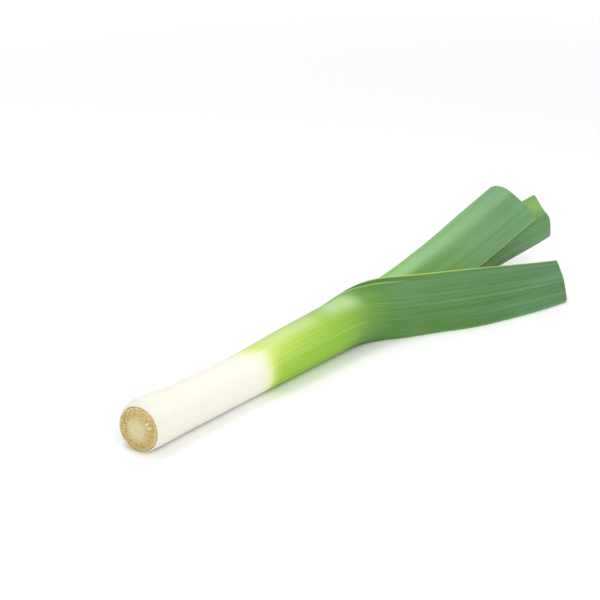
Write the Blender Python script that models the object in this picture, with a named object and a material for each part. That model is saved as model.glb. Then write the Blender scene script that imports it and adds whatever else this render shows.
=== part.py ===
"""A trimmed leek lying on its side: a root plate with clipped roots, and nested folded leaves.

The plant's own axes: u runs along the shaft from the root end, y across, z up from the surface that
the leek lies on. Each leaf is one piece: a closed tube, its sheath, which opens along a slit on the
side away from its keel, and a folded blade with two halves. The keels of the leaves lie on two
sides in turn. Sections are square to the shaft, and sizes in the tables are in millimetres.
"""
import math
import random

import bmesh
import bpy
import numpy as np

MM = 0.001

# The part's origin, in the plant's axes: the middle of the floor area under the leek
ORIGIN_U = 247.6
ORIGIN_Y = -32.6

# Shaft: distance from the root end, outside radius
SHAFT_RADII = [
    (0, 17.6), (3, 18.9), (9, 19.7), (18, 19.4), (36, 18.4), (76, 18.0), (112, 18.1), (166, 19.6), (222, 20.7),
]
FLAT_DEPTH = 0.7          # how far the underside of the shaft is flattened where it lies

# Root end: how far short and how much out of square it is cut, which fades out along the shaft, and
# the pit for the root plate
ROOT_CUT = 1.8
ROOT_SLANT_Y = -0.13
ROOT_SLANT_Z = 0.085
SLANT_FADE = (4.0, 34.0)
ROOT_RADIUS = 16.3
PIT_CLEARANCE = 0.35
PIT_RIM = 0.6
PIT_DEPTH = 5.0

# The fan of inner leaves leans back from the vertical by this angle
FAN_LEAN = math.radians(20.0)
# How far a leaf's pocket, which holds the foot of the next leaf in, reaches below its slit
OUTER_POCKET = 26.0
INNER_POCKET = 22.0

# Fan: distance from the root end, how far its middle plane has turned towards the viewer's side, and
# how far the closed tubes in it have shifted up the fan
FAN_MIDDLE = [
    (222, 0.0, 0.0), (240, 0.6, 0.4), (262, 2.6, 1.6), (291, 7.0, 3.2), (342, 17.8, 9.0), (397, 26.4, 12.0),
    (441, 33.2, 14.0), (482, 38.8, 16.0), (510, 42.0, 18.0),
]


def curve_through(stations, u):
    """Smooth values at u of what a table of (u, value, value, ...) gives."""
    table = np.array(stations, dtype=float)
    places = table[:, 0]
    values = table[:, 1:]
    slopes = np.gradient(values, places, axis=0)
    u = min(max(u, places[0]), places[-1])
    i = int(np.clip(np.searchsorted(places, u) - 1, 0, len(places) - 2))
    span = places[i + 1] - places[i]
    f = (u - places[i]) / span
    start = (1.0 + 2.0 * f) * (1.0 - f) ** 2 * values[i] + f * (1.0 - f) ** 2 * span * slopes[i]
    end = f * f * (3.0 - 2.0 * f) * values[i + 1] + f * f * (f - 1.0) * span * slopes[i + 1]
    return start + end


def ease(low, high, u):
    """0 below low, 1 above high, smooth between."""
    f = min(max((u - low) / (high - low), 0.0), 1.0)
    return f * f * (3.0 - 2.0 * f)


def resample(points, fractions):
    """Points at the given fractions of a polyline's length."""
    steps = np.linalg.norm(np.diff(points, axis=0), axis=1)
    run = np.concatenate([[0.0], np.cumsum(steps)])
    run /= run[-1]
    return np.stack([np.interp(fractions, run, points[:, k]) for k in range(2)], axis=1)


def shaft_radius(u):
    return float(curve_through(SHAFT_RADII, u)[0])


def root_slant(u, y, z):
    """The root end is cut slightly out of square: how far a point near it is moved along the shaft."""
    move = ROOT_CUT + ROOT_SLANT_Y * y + ROOT_SLANT_Z * (z - shaft_centre_height(0.0))
    return move * (1.0 - ease(*SLANT_FADE, u))


def shaft_centre_height(u):
    return shaft_radius(u) - FLAT_DEPTH


def fan_to_section(points, u):
    """(up the fan, towards the viewer's side) to (y, z)."""
    up = points[..., 0]
    out = points[..., 1]
    y = up * math.sin(FAN_LEAN) - out * math.cos(FAN_LEAN)
    z = shaft_centre_height(u) + up * math.cos(FAN_LEAN) + out * math.sin(FAN_LEAN)
    return np.stack([y, z], axis=-1)


# The outermost leaf

OUTER_SLIT = 219.0        # where its tube starts to open
OUTER_OPENING = 62.0      # length over which the tube turns into the folded blade
OUTER_KEEL_ANGLE = math.radians(-135.0)
# keel y, keel z, angle and length of the near half, angle and length of the far half, near bulge
OUTER_BLADE = [
    (219, -13.0, 3.0, 78, 59, 0, 60, 13.0),
    (242, -14.5, 1.4, 78, 58, 1, 59, 13.0),
    (266, -22.0, 0.6, 75, 55, 2, 57, 8.0),
    (288, -34.5, 0.1, 72, 54, 3, 54, 4.0),
    (306, -44.5, 0.0, 72, 53, 4, 52, 2.5),
    (338, -63.5, 0.0, 71, 52, 6, 50, 2.0),
    (368, -76.0, 0.2, 68, 49, 8, 47, 2.0),
    (409, -89.5, 0.9, 66, 43, 10, 43, 2.0),
    (448, -98.9, 1.3, 64, 37, 13, 40, 1.5),
]
OUTER_ROUNDING = 0.10     # how rounded its keel is, against half the blade's width
BULGE_CURVE = 0.8
# A crease along the near half sets off an upright lip beside the margin
CREASE_PLACE = 0.911
CREASE_DEPTH = 4.5
CREASE_GROWS = (222.0, 248.0)
CREASE_FADES = (262.0, 325.0)
SHOULDER_WIDTH = 0.22


def arc_points(centre, radius, start, turn, count=60):
    angles = start + turn * np.linspace(0.0, 1.0, count)
    return np.stack([centre[0] + radius * np.cos(angles), centre[1] + radius * np.sin(angles)], axis=1)


def folded_half(keel, near, far, side, rounding, count=80):
    """One half of a rounded V from the keel to a margin. side is 1 for the near half, -1 for the far."""
    axis = (near + far) / 2.0 - keel
    spread = (near - far) / 2.0
    t = side * np.linspace(0.0, 1.0, count) ** 1.5
    rho = (np.sqrt(t * t + rounding ** 2) - rounding) / (math.sqrt(1.0 + rounding ** 2) - rounding)
    return keel + np.outer(rho, axis) + np.outer(t, spread)


def outer_half(u, side, fractions):
    radius = shaft_radius(u)
    centre = np.array([0.0, radius - FLAT_DEPTH])
    closed = resample(arc_points(centre, radius, OUTER_KEEL_ANGLE, -side * math.pi), fractions)
    openness = ease(OUTER_SLIT, OUTER_SLIT + OUTER_OPENING, u)
    if openness == 0.0:
        return closed
    ky, kz, near_angle, near_length, far_angle, far_length, bulge = curve_through(OUTER_BLADE, u)
    keel = np.array([ky, kz])
    near_way = np.array([math.cos(math.radians(near_angle)), math.sin(math.radians(near_angle))])
    far_way = np.array([math.cos(math.radians(far_angle)), math.sin(math.radians(far_angle))])
    near = keel + near_way * near_length
    far = keel + far_way * far_length
    folded = folded_half(keel, near, far, side, OUTER_ROUNDING)
    folded = resample(folded, fractions)
    if side > 0:
        out = np.array([-near_way[1], near_way[0]])
        folded += np.outer(bulge * np.sin(math.pi * fractions) ** BULGE_CURVE, out)
    points = (1.0 - openness) * closed + openness * folded
    if side > 0:
        depth = CREASE_DEPTH * ease(*CREASE_GROWS, u) * (1.0 - ease(*CREASE_FADES, u))
        shoulder = np.clip(1.0 - (CREASE_PLACE - fractions) / SHOULDER_WIDTH, 0.0, 1.0) ** 2
        lip = np.clip((1.0 - fractions) / (1.0 - CREASE_PLACE), 0.0, 1.0)
        points -= np.outer(depth * np.minimum(shoulder, lip), out)
    return points


# The inner leaves, in the fan's own axes: up the fan, and towards the viewer's side

# side: 1 with the keel on top, -1 with the keel below. radius: of its closed tube. floor: its pocket's
# floor. fan: distance from the root end, places of the keel and of the near and far margins up the
# fan, half the thickness of the fold, how far the near and far margins spread out of it, and a
# lengthwise ridge in the near half. rounding: length of the rounded part at the keel. cut: where the
# knife ends the keel, the near margin and the far margin.
INNER_LEAVES = {
    "second_leaf": {
        "side": 1, "radius": 18.3, "foot": 194.6, "slit": 238.0, "opening": 50.0,
        "lowest": [(190, 1.9), (238, 1.9), (252, 2.4), (270, 4.4), (291, 5.8), (342, 8.0), (480, 8.0)],
        "wall": [(195, 1.6), (250, 1.5), (300, 1.2), (480, 1.0)],
        "fan": [
            (190, 18.3, -18.3, -18.3, 18.3, 0.0, 0.0, 0.0),
            (238, 19.0, -17.5, -17.5, 17.6, 0.0, 0.0, 0.0),
            (262, 20.6, -16.0, -16.0, 15.4, 0.0, 0.0, 0.0),
            (291, 23.5, -13.5, -13.5, 12.6, 0.0, 1.0, 0.0),
            (342, 35.5, -8.0, -8.0, 8.7, 0.0, 6.0, 0.0),
            (397, 50.5, 0.8, 2.0, 7.6, 0.0, 14.0, 0.0),
            (441, 62.2, 11.0, 12.0, 7.0, 0.0, 20.0, 0.0),
            (482, 73.0, 20.5, 21.0, 7.0, 0.0, 25.0, 0.0),
        ],
        "rounding": 11.0, "cut": (442.0, 480.0, 470.0), "cut_bend": 1.2,
    },
    "third_leaf": {
        "side": -1, "radius": 15.9, "foot": 217.0, "slit": 262.0, "opening": 50.0,
        "lowest": [(210, 4.2), (245, 4.4), (262, 5.2), (291, 6.8), (342, 8.5), (480, 8.5)],
        "wall": [(214, 1.5), (270, 1.3), (320, 1.0), (500, 0.9)],
        "fan": [
            (210, -15.9, 15.9, 15.9, 15.9, 0.0, 0.0, 0.0),
            (240, -15.9, 15.9, 15.9, 14.9, 0.0, 0.0, 0.0),
            (262, -16.3, 16.2, 16.2, 13.2, 0.0, 0.0, 0.0),
            (291, -16.5, 16.8, 16.8, 10.5, 0.0, 0.0, 0.0),
            (342, -15.7, 24.0, 24.0, 6.9, 0.0, 0.0, 0.0),
            (397, -11.0, 33.0, 33.0, 5.8, 0.0, 0.8, 0.0),
            (441, -7.2, 37.5, 34.0, 5.0, -0.3, 3.0, 0.3),
            (482, -4.2, 40.0, 35.0, 4.2, -2.5, 8.0, 2.5),
            (504, -2.2, 41.0, 36.0, 4.2, -4.5, 14.0, 4.5),
        ],
        "rounding": 9.0, "cut": (499.3, 492.0, 488.0), "cut_bend": 0.42,
    },
    "fourth_leaf": {
        "side": 1, "radius": 13.8, "foot": 241.0, "slit": 286.0, "opening": 46.0,
        "lowest": [(240, 6.0), (480, 6.0)],
        "wall": [(238, 1.3), (290, 1.2), (330, 0.9), (480, 0.8)],
        "fan": [
            (235, 13.8, -13.8, -13.8, 13.2, 0.0, 0.0, 0.0),
            (262, 14.2, -13.5, -13.5, 11.2, 0.0, 0.0, 0.0),
            (286, 16.8, -12.0, -12.0, 9.0, 0.0, 0.0, 0.0),
            (342, 29.0, -8.0, -8.0, 5.3, 0.0, 0.0, 0.0),
            (397, 42.0, 2.0, 2.0, 4.3, 0.0, 0.2, 0.0),
            (441, 47.0, 8.0, 8.0, 3.2, 0.0, 0.5, 0.0),
            (480, 52.0, 14.0, 14.0, 2.4, 0.0, 1.0, 0.0),
        ],
        "rounding": 7.0, "cut": (448.0, 455.0, 462.0), "cut_bend": 2.0,
    },
    "heart_leaf": {
        "side": -1, "radius": 11.8, "foot": 265.0, "slit": 306.0, "opening": 40.0,
        "lowest": [(260, 7.0), (480, 7.0)],
        "wall": [(260, 1.2), (310, 1.0), (350, 0.8), (480, 0.7)],
        "fan": [
            (258, -12.0, 12.0, 12.0, 9.7, 0.0, 0.0, 0.0),
            (286, -12.0, 13.0, 13.0, 7.2, 0.0, 0.0, 0.0),
            (306, -11.0, 16.0, 16.0, 5.7, 0.0, 0.0, 0.0),
            (342, -9.5, 21.0, 21.0, 3.8, 0.0, 0.0, 0.0),
            (397, -4.5, 29.0, 29.0, 2.9, 0.0, 0.0, 0.0),
            (450, 1.0, 33.0, 33.0, 2.4, 0.0, 0.0, 0.0),
        ],
        "rounding": 5.0, "cut": (432.0, 428.0, 424.0), "cut_bend": 2.0,
    },
}

SPREAD_CURVE = 2.2        # the margins' spread grows with this power of the way from the keel
RIDGE_PLACE = 0.4
RIDGE_WIDTH = 0.2


def inner_half(leaf, u, side, fractions):
    """Half of an inner leaf's section, from its keel to a margin, as (y, z)."""
    up = leaf["side"]
    keel, near, far, half, near_spread, far_spread, ridge = curve_through(leaf["fan"], u)
    middle, shift = curve_through(FAN_MIDDLE, u)
    tall = math.sqrt(2.0 * leaf["radius"] ** 2 - half ** 2)
    angles = math.pi * np.linspace(0.0, 1.0, 70)
    closed = np.stack([shift + up * tall * np.cos(angles), side * half * np.sin(angles) + middle], axis=1)
    closed = resample(closed, fractions)
    openness = ease(leaf["slit"], leaf["slit"] + leaf["opening"], u)
    if openness == 0.0:
        return fan_to_section(closed, u)
    margin = near if side > 0 else far
    spread = near_spread if side > 0 else far_spread
    reach = abs(margin - keel)
    run = reach * np.linspace(0.0, 1.0, 120) ** 1.6
    round_part = np.minimum(run / leaf["rounding"], 1.0)
    out = half * np.sqrt(1.0 - (1.0 - round_part) ** 2) + spread * (run / reach) ** SPREAD_CURVE
    if side > 0:
        out += ridge * np.exp(-((run / reach - RIDGE_PLACE) / RIDGE_WIDTH) ** 2)
    opened = np.stack([keel - up * run, side * out + middle], axis=1)
    opened = resample(opened, fractions)
    return fan_to_section((1.0 - openness) * closed + openness * opened, u)


# Meshes

LEAF_ROUGHNESS = 0.42
SHARP_ANGLE = math.radians(40.0)


def leaf_grid(leaf, half_section):
    """Outer surface as rows of points (u, y, z) from the foot to the cut end, far margin to near."""
    fractions = leaf["across"]
    slit = leaf["slit"]
    last = leaf["rows"][-1]
    places = [-f for f in fractions[::-1]] + list(fractions[1:])
    grid = []
    for u in leaf["rows"]:
        slant = (max(u - slit, 0.0) / (last - slit)) ** 2
        line = []
        for t in places:
            side = 1 if t >= 0.0 else -1
            k = int(np.argmin(np.abs(fractions - abs(t))))
            place = u + (cut_end(leaf, t) - last) * slant
            y, z = half_section(place, side, fractions)[k]
            place += root_slant(place, y, z) if leaf["pit"] else 0.0
            line.append((place, y, max(z, float(curve_through(leaf["lowest"], place)[0]))))
        grid.append(line)
    return np.array(grid)


def cut_end(leaf, t):
    """Where the knife ends the leaf, across from the keel (0) to a margin (1 near, -1 far)."""
    keel, near, far = leaf["cut"]
    margin = near if t >= 0.0 else far
    return keel + (margin - keel) * (1.0 - (1.0 - abs(t)) ** leaf["cut_bend"])


SEAM_OPENS = (5.0, 32.0)  # past the start of a slit, the length over which its two margins part


def inner_grid(outer, leaf):
    """The inside surface, one wall thickness in from the outer one."""
    along = np.gradient(outer, axis=0)
    across = np.gradient(outer, axis=1)
    for i, u in enumerate(leaf["rows"]):
        seam = (outer[i, 1] - outer[i, -2]) / 2.0
        apart = ease(leaf["slit"] + SEAM_OPENS[0], leaf["slit"] + SEAM_OPENS[1], u)
        across[i, 0] = (1.0 - apart) * seam + apart * across[i, 0]
        across[i, -1] = (1.0 - apart) * seam + apart * across[i, -1]
    normals = np.cross(across, along)
    normals /= np.linalg.norm(normals, axis=2, keepdims=True)
    walls = np.array([[float(curve_through(leaf["wall"], p[0])[0]) for p in line] for line in outer])
    return outer - leaf["turn"] * normals * walls[..., None]


def leaf_object(name, leaf, half_section, colour):
    """One closed solid: a plug up to its pocket, a tube wall, and the blade's wall beyond its slit."""
    outer = leaf_grid(leaf, half_section)
    inner = inner_grid(outer, leaf)
    rows = leaf["rows"]
    count = len(leaf["across"]) * 2 - 1
    slit_row = max(i for i, u in enumerate(rows) if u <= leaf["slit"])
    floor_row = min(i for i, u in enumerate(rows) if u >= leaf["floor"])
    mesh = bmesh.new()

    def placed(point):
        return mesh.verts.new(in_part(point))

    def skin(grid, first):
        lines = []
        for i in range(len(rows)):
            if i < first:
                lines.append(None)
                continue
            line = [placed(p) for p in grid[i, :-1]]
            line.append(line[0] if i <= slit_row else placed(grid[i, -1]))
            lines.append(line)
        return lines

    outside = skin(outer, 0)
    inside = skin(inner, floor_row)

    def face(*corners):
        mesh.faces.new(corners)

    def sheet(lines, first, inward):
        for i in range(first, len(rows) - 1):
            for j in range(count - 1):
                a, b = lines[i][j], lines[i][j + 1]
                c, d = lines[i + 1][j + 1], lines[i + 1][j]
                if inward:
                    face(a, c, b)
                    face(a, d, c)
                else:
                    face(a, b, c)
                    face(a, c, d)

    sheet(outside, 0, False)
    sheet(inside, floor_row, True)
    foot_ring = outside[0]
    if leaf["pit"]:
        lip = ring_points(PIT_RIM, ROOT_RADIUS + PIT_CLEARANCE, count - 1)
        bottom = ring_points(PIT_DEPTH, ROOT_RADIUS + PIT_CLEARANCE, count - 1)
        for ring in (lip, bottom):
            line = [placed(p) for p in ring]
            line.append(line[0])
            for j in range(count - 1):
                face(foot_ring[j], line[j], line[j + 1], foot_ring[j + 1])
            foot_ring = line
        foot = placed(bottom.mean(axis=0))
    else:
        foot = placed(outer[0, :-1].mean(axis=0))
    pocket = placed(inner[floor_row, :-1].mean(axis=0))
    for j in range(count - 1):
        face(foot, foot_ring[j + 1], foot_ring[j])
        face(pocket, inside[floor_row][j], inside[floor_row][j + 1])
        face(outside[-1][j], outside[-1][j + 1], inside[-1][j + 1], inside[-1][j])
    for i in range(slit_row, len(rows) - 1):
        face(outside[i][0], outside[i + 1][0], inside[i + 1][0], inside[i][0])
        face(outside[i][-1], inside[i][-1], inside[i + 1][-1], outside[i + 1][-1])
    bmesh.ops.triangulate(mesh, faces=[f for f in mesh.faces if len(f.verts) > 3])
    bmesh.ops.recalc_face_normals(mesh, faces=mesh.faces)
    return finish_object(name, mesh, colour, LEAF_ROUGHNESS)


def ring_points(u, radius, count):
    """A ring round the shaft's axis near the root end, in step with the outer leaf's columns."""
    half = count // 2 + 1
    angles = []
    fractions = places_across(half)
    for t in [-f for f in fractions[::-1]] + list(fractions[1:]):
        angles.append(OUTER_KEEL_ANGLE - t * math.pi)
    centre = shaft_centre_height(0.0)
    ring = []
    for angle in angles[:count]:
        y = radius * math.cos(angle)
        z = centre + radius * math.sin(angle)
        ring.append((u + root_slant(0.0, y, z), y, z))
    return np.array(ring)


def in_part(point):
    """A point (u, y, z) of the plant, in the part's frame."""
    return ((point[0] - ORIGIN_U) * MM, (point[1] - ORIGIN_Y) * MM, point[2] * MM)


def finish_object(name, mesh, colour, roughness):
    data = bpy.data.meshes.new(name)
    mesh.to_mesh(data)
    mesh.free()
    data.shade_smooth()
    data.set_sharp_from_angle(angle=SHARP_ANGLE)
    data.materials.append(surface(name, colour, roughness))
    thing = bpy.data.objects.new(name, data)
    bpy.context.scene.collection.objects.link(thing)
    return thing


def surface(name, colour, roughness):
    material = bpy.data.materials.new(name)
    material.use_nodes = True
    shader = material.node_tree.nodes["Principled BSDF"]
    shader.inputs["Base Color"].default_value = (*colour, 1.0)
    shader.inputs["Roughness"].default_value = roughness
    shader.inputs["Metallic"].default_value = 0.0
    return material


# Root plate

ROOT_COLOUR = (0.62, 0.50, 0.24)
ROOT_ROUGHNESS = 0.85
ROOT_DOME = 1.6
ROOT_SIDES = 40
STUB_COUNT = 46
STUB_RADIUS = 0.85
STUB_SIDES = 5
STUB_FOOT = 2.5           # how far below the disc's rim a stub starts, inside the disc
STUB_LENGTH = (1.0, 2.2)
STUB_TAPER = (0.75, 1.05)
STUB_LEAN = 0.3
STUB_MARGIN = 1.3         # the outermost stubs stand this far inside the disc's edge
GOLDEN_ANGLE = math.radians(137.508)


def root_plate():
    """A low domed disc with clipped root stubs standing out of it, joined to it by a Boolean union."""
    centre = shaft_centre_height(0.0)
    rings = [
        (ROOT_RADIUS, PIT_DEPTH - PIT_CLEARANCE), (ROOT_RADIUS, 0.4),
        (ROOT_RADIUS - 1.1, -0.5), (ROOT_RADIUS / 2.0, -ROOT_DOME),
    ]
    mesh = bmesh.new()
    loops = []
    for radius, u in rings:
        loop = []
        for k in range(ROOT_SIDES):
            angle = 2.0 * math.pi * k / ROOT_SIDES
            y = radius * math.cos(angle)
            z = centre + radius * math.sin(angle)
            loop.append(mesh.verts.new(in_part((u + root_slant(0.0, y, z), y, z))))
        loops.append(loop)
    for first, second in zip(loops, loops[1:]):
        for k in range(ROOT_SIDES):
            after = (k + 1) % ROOT_SIDES
            mesh.faces.new((first[k], first[after], second[after], second[k]))
    mesh.faces.new(loops[0])
    mesh.faces.new(loops[-1])
    bmesh.ops.recalc_face_normals(mesh, faces=mesh.faces)
    plate = finish_object("root_plate", mesh, ROOT_COLOUR, ROOT_ROUGHNESS)

    stubs = bpy.data.collections.new("stubs")
    bpy.context.scene.collection.children.link(stubs)
    draw = random.Random(11)
    for k in range(STUB_COUNT):
        radius = (ROOT_RADIUS - STUB_MARGIN) * math.sqrt((k + 0.5) / STUB_COUNT)
        angle = k * GOLDEN_ANGLE
        root_stub(stubs, radius * math.cos(angle), centre + radius * math.sin(angle), draw)

    union = plate.modifiers.new("roots", "BOOLEAN")
    union.operation = "UNION"
    union.operand_type = "COLLECTION"
    union.collection = stubs
    union.solver = "EXACT"
    bpy.context.view_layer.update()
    joined = bpy.data.meshes.new_from_object(plate.evaluated_get(bpy.context.evaluated_depsgraph_get()))
    plate.modifiers.clear()
    plate.data = joined
    for stub in list(stubs.objects):
        bpy.data.objects.remove(stub)
    bpy.data.collections.remove(stubs)
    return plate


def root_stub(stubs, y, z, draw):
    """One clipped root: a short post that leans a little."""
    length = draw.uniform(*STUB_LENGTH)
    tip = STUB_RADIUS * draw.uniform(*STUB_TAPER)
    lean_y = draw.uniform(-STUB_LEAN, STUB_LEAN)
    lean_z = draw.uniform(-STUB_LEAN, STUB_LEAN)
    slant = root_slant(0.0, y, z)
    mesh = bmesh.new()
    low = []
    high = []
    for c in range(STUB_SIDES):
        turn = 2.0 * math.pi * c / STUB_SIDES
        foot = (STUB_FOOT + slant, y + STUB_RADIUS * math.cos(turn), z + STUB_RADIUS * math.sin(turn))
        end_y = y + lean_y + tip * math.cos(turn)
        end_z = z + lean_z + tip * math.sin(turn)
        low.append(mesh.verts.new(in_part(foot)))
        high.append(mesh.verts.new(in_part((slant - ROOT_DOME - length, end_y, end_z))))
    for c in range(STUB_SIDES):
        after = (c + 1) % STUB_SIDES
        mesh.faces.new((low[c], low[after], high[after], high[c]))
    mesh.faces.new(low)
    mesh.faces.new(high)
    bmesh.ops.recalc_face_normals(mesh, faces=mesh.faces)
    data = bpy.data.meshes.new("stub")
    mesh.to_mesh(data)
    mesh.free()
    stubs.objects.link(bpy.data.objects.new("stub", data))


def places_across(count):
    """Fractions from the keel to a margin, closer together near the keel."""
    return np.linspace(0.0, 1.0, count) ** 1.25


def build():
    for thing in list(bpy.data.objects):
        bpy.data.objects.remove(thing)
    root_plate()

    outer = {
        "slit": OUTER_SLIT, "floor": OUTER_SLIT - OUTER_POCKET, "across": places_across(15),
        "rows": [
            0.0, 1.2, 4, 9, 22, 36, 56, 76, 112, 140, 166, 193, 206, 219, 224, 229, 235, 242, 250, 258, 266,
            277, 288, 297, 306, 322, 338, 353, 368, 388, 409, 424, 435,
        ],
        "cut": (438.5, 442.8, 433.0), "cut_bend": 1.0, "wall": [(190, 1.5), (240, 1.3), (440, 1.0)],
        "turn": -1.0, "lowest": [(0, 0.0), (440, 0.0)], "pit": True,
    }
    leaf_object("outer_leaf", outer, outer_half, (0.30, 0.50, 0.12))

    greens = [(0.22, 0.42, 0.15), (0.20, 0.38, 0.12), (0.26, 0.45, 0.14), (0.34, 0.52, 0.16)]
    for (name, spec), colour in zip(INNER_LEAVES.items(), greens):
        slit = spec["slit"]
        floor = slit - INNER_POCKET
        steps = [spec["foot"], floor, slit - 10.0] + [slit + step for step in (0, 5, 11, 18, 26, 36, 46, 58)]
        blade = list(np.linspace(steps[-1], spec["cut"][0], 10)[1:])
        leaf = {
            "slit": slit, "floor": floor, "across": places_across(12), "rows": steps + blade,
            "cut": spec["cut"], "cut_bend": spec["cut_bend"], "wall": spec["wall"],
            "turn": float(spec["side"]), "lowest": spec["lowest"], "pit": False,
        }

        def half_section(u, side, fractions, spec=spec):
            return inner_half(spec, u, side, fractions)

        leaf_object(name, leaf, half_section, colour)


build()
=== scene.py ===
"""The leek's looks: fine meshes and materials for its leaves and root plate, floor, lights and camera."""
import math
import random
from functools import partial

import bmesh
import bpy
import numpy as np
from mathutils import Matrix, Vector


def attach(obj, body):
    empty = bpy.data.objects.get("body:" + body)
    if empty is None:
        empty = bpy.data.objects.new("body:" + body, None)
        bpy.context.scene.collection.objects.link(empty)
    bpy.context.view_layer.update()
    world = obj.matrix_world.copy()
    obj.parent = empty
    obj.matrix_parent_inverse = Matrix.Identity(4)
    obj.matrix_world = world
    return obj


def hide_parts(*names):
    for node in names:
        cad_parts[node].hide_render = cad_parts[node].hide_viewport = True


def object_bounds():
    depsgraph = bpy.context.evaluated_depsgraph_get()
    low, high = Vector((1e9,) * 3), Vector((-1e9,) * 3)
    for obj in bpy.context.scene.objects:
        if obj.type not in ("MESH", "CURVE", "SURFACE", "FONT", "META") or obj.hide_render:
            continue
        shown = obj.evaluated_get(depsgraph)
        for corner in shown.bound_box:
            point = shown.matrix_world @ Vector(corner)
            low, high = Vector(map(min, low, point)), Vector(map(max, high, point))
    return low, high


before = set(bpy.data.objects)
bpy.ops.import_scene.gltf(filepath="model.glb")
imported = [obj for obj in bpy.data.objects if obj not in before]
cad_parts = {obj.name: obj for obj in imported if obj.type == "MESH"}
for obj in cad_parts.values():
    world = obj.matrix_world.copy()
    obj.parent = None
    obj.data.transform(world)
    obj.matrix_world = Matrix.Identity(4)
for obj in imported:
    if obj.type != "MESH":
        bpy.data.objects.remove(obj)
cad_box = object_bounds()

MM = 0.001

# The plant's own axes, in millimetres: u along the shaft from the root end, y across, z up.
# The part's origin in them:
ORIGIN_U = 247.6
ORIGIN_Y = -32.6

# Shaft: distance from the root end, outside radius
SHAFT_RADII = [
    (0, 17.6), (3, 18.9), (9, 19.7), (18, 19.4), (36, 18.4), (76, 18.0), (112, 18.1), (166, 19.6),
    (222, 20.7),
]
FLAT_DEPTH = 0.7          # how far the underside of the shaft is flattened where it lies

# Root end: how far short and how much out of square it is cut, which fades out along the shaft, and
# the pit for the root plate
ROOT_CUT = 1.8
ROOT_SLANT_Y = -0.13
ROOT_SLANT_Z = 0.085
SLANT_FADE = (4.0, 34.0)
ROOT_RADIUS = 16.3
PIT_CLEARANCE = 0.35
PIT_RIM = 0.6
PIT_DEPTH = 5.0

# The fan of inner leaves leans back from the vertical by this angle
FAN_LEAN = math.radians(20.0)
# How far a leaf's pocket, which holds the foot of the next leaf in, reaches below its slit
OUTER_POCKET = 26.0
INNER_POCKET = 22.0

# Fan: distance from the root end, how far its middle plane has turned towards the viewer's side, and
# how far the closed tubes in it have shifted up the fan
FAN_MIDDLE = [
    (222, 0.0, 0.0), (240, 0.6, 0.4), (262, 2.6, 1.6), (291, 7.0, 3.2), (342, 17.8, 9.0), (397, 26.4, 12.0),
    (441, 33.2, 14.0), (482, 38.8, 16.0), (510, 42.0, 18.0),
]


def curve_through(stations, u):
    """Smooth values at u of what a table of (u, value, value, ...) gives."""
    table = np.array(stations, dtype=float)
    places = table[:, 0]
    values = table[:, 1:]
    slopes = np.gradient(values, places, axis=0)
    u = min(max(u, places[0]), places[-1])
    i = int(np.clip(np.searchsorted(places, u) - 1, 0, len(places) - 2))
    span = places[i + 1] - places[i]
    f = (u - places[i]) / span
    start = (1.0 + 2.0 * f) * (1.0 - f) ** 2 * values[i] + f * (1.0 - f) ** 2 * span * slopes[i]
    end = f * f * (3.0 - 2.0 * f) * values[i + 1] + f * f * (f - 1.0) * span * slopes[i + 1]
    return start + end


def ease(low, high, u):
    """0 below low, 1 above high, smooth between."""
    f = min(max((u - low) / (high - low), 0.0), 1.0)
    return f * f * (3.0 - 2.0 * f)


def resample(points, fractions):
    """Points at the given fractions of a polyline's length."""
    steps = np.linalg.norm(np.diff(points, axis=0), axis=1)
    run = np.concatenate([[0.0], np.cumsum(steps)])
    run /= run[-1]
    return np.stack([np.interp(fractions, run, points[:, k]) for k in range(2)], axis=1)


def shaft_radius(u):
    return float(curve_through(SHAFT_RADII, u)[0])


def root_slant(u, y, z):
    """The root end is cut slightly out of square: how far a point near it is moved along the shaft."""
    move = ROOT_CUT + ROOT_SLANT_Y * y + ROOT_SLANT_Z * (z - shaft_centre_height(0.0))
    return move * (1.0 - ease(*SLANT_FADE, u))


def shaft_centre_height(u):
    return shaft_radius(u) - FLAT_DEPTH


def fan_to_section(points, u):
    """(up the fan, towards the viewer's side) to (y, z)."""
    up = points[..., 0]
    out = points[..., 1]
    y = up * math.sin(FAN_LEAN) - out * math.cos(FAN_LEAN)
    z = shaft_centre_height(u) + up * math.cos(FAN_LEAN) + out * math.sin(FAN_LEAN)
    return np.stack([y, z], axis=-1)


# The outermost leaf

OUTER_SLIT = 219.0        # where its tube starts to open
OUTER_OPENING = 62.0      # length over which the tube turns into the folded blade
OUTER_KEEL_ANGLE = math.radians(-135.0)
# keel y, keel z, angle and length of the near half, angle and length of the far half, near bulge
OUTER_BLADE = [
    (219, -13.0, 3.0, 78, 59, 0, 60, 13.0),
    (242, -14.5, 1.4, 78, 58, 1, 59, 13.0),
    (266, -22.0, 0.6, 75, 55, 2, 57, 8.0),
    (288, -34.5, 0.1, 72, 54, 3, 54, 4.0),
    (306, -44.5, 0.0, 72, 53, 4, 52, 2.5),
    (338, -63.5, 0.0, 71, 52, 6, 50, 2.0),
    (368, -76.0, 0.2, 68, 49, 8, 47, 2.0),
    (409, -89.5, 0.9, 66, 43, 10, 43, 2.0),
    (448, -98.9, 1.3, 64, 37, 13, 40, 1.5),
]
OUTER_ROUNDING = 0.10     # how rounded its keel is, against half the blade's width
OUTER_SPACING = 1.5       # above 1, the points of a fold stand closer at its keel
BULGE_CURVE = 0.8
# A crease along the near half sets off an upright lip beside the margin
CREASE_PLACE = 0.911
CREASE_DEPTH = 4.5
CREASE_GROWS = (222.0, 248.0)
CREASE_FADES = (262.0, 325.0)
SHOULDER_WIDTH = 0.22


def arc_points(centre, radius, start, turn, count=60):
    angles = start + turn * np.linspace(0.0, 1.0, count)
    return np.stack([centre[0] + radius * np.cos(angles), centre[1] + radius * np.sin(angles)], axis=1)


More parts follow.
